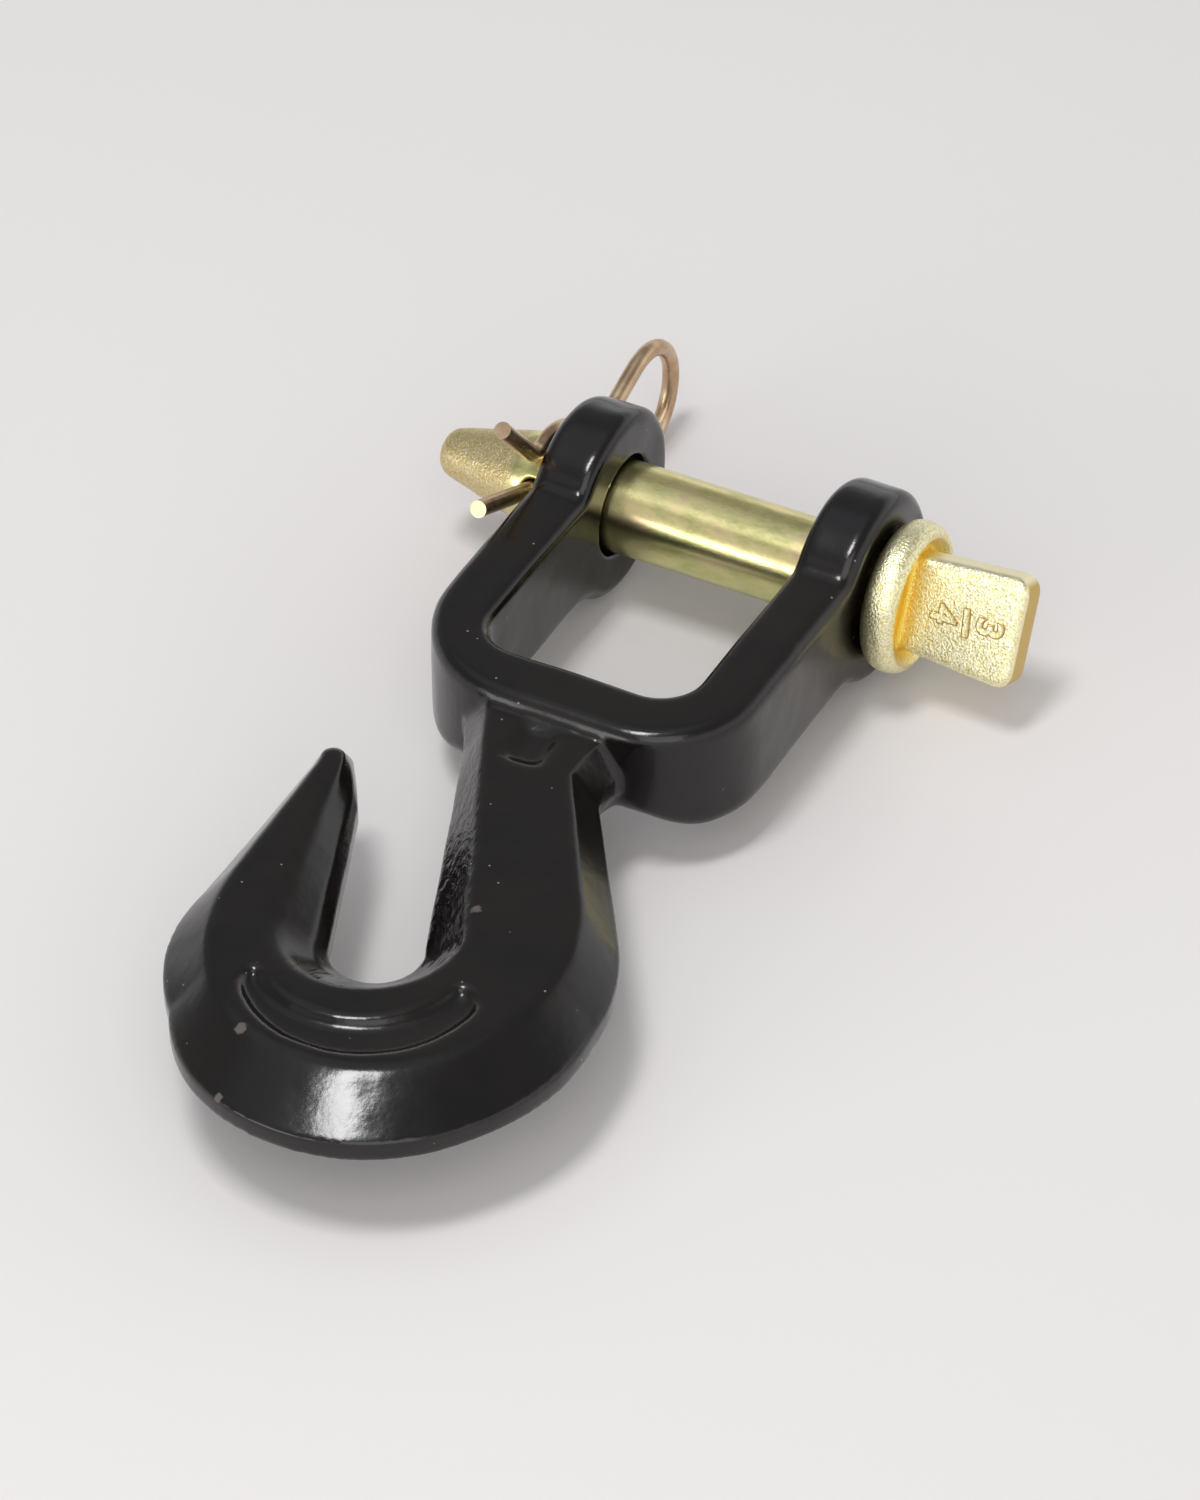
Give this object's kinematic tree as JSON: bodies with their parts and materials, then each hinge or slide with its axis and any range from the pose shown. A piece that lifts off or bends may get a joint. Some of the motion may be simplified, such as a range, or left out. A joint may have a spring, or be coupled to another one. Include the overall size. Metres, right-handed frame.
{
  "type": "drawbar clevis grab hook",
  "caption": "Forged clevis with a grab hook at its foot, held to a drawbar by a headed cross pin and a hairpin clip",
  "frame": {"origin": "on the hitch pin's axis, midway between the clevis's two eyes", "axes": "+X along the pin towards its head, +Y from the hook towards the eyes, +Z square to the flat of the forging"},
  "size_m": [0.1293, 0.2466, 0.0491],
  "materials": {
    "black_paint": "semi-gloss black paint over a drop forging",
    "yellow_zinc": "yellow zinc plate over forged steel",
    "spring_wire": "zinc plated spring wire with a bronze tint"
  },
  "bodies": {
    "hook": {"clevis_hook": "black_paint"},
    "pin": {"hitch_pin": "yellow_zinc"},
    "clip": {"hairpin_clip": "spring_wire"}
  },
  "joints": [
    {"name": "pin_turn", "type": "hinge", "parent": "hook", "child": "pin", "pos_m": [0, 0, 0], "axis": [1, 0, 0], "continuous": true},
    {"name": "clip_pull", "type": "slide", "parent": "pin", "child": "clip", "axis": [0, 0.9063, -0.4226], "range_m": [0, 0.055], "deforming": ["hairpin_clip"]}
  ]
}
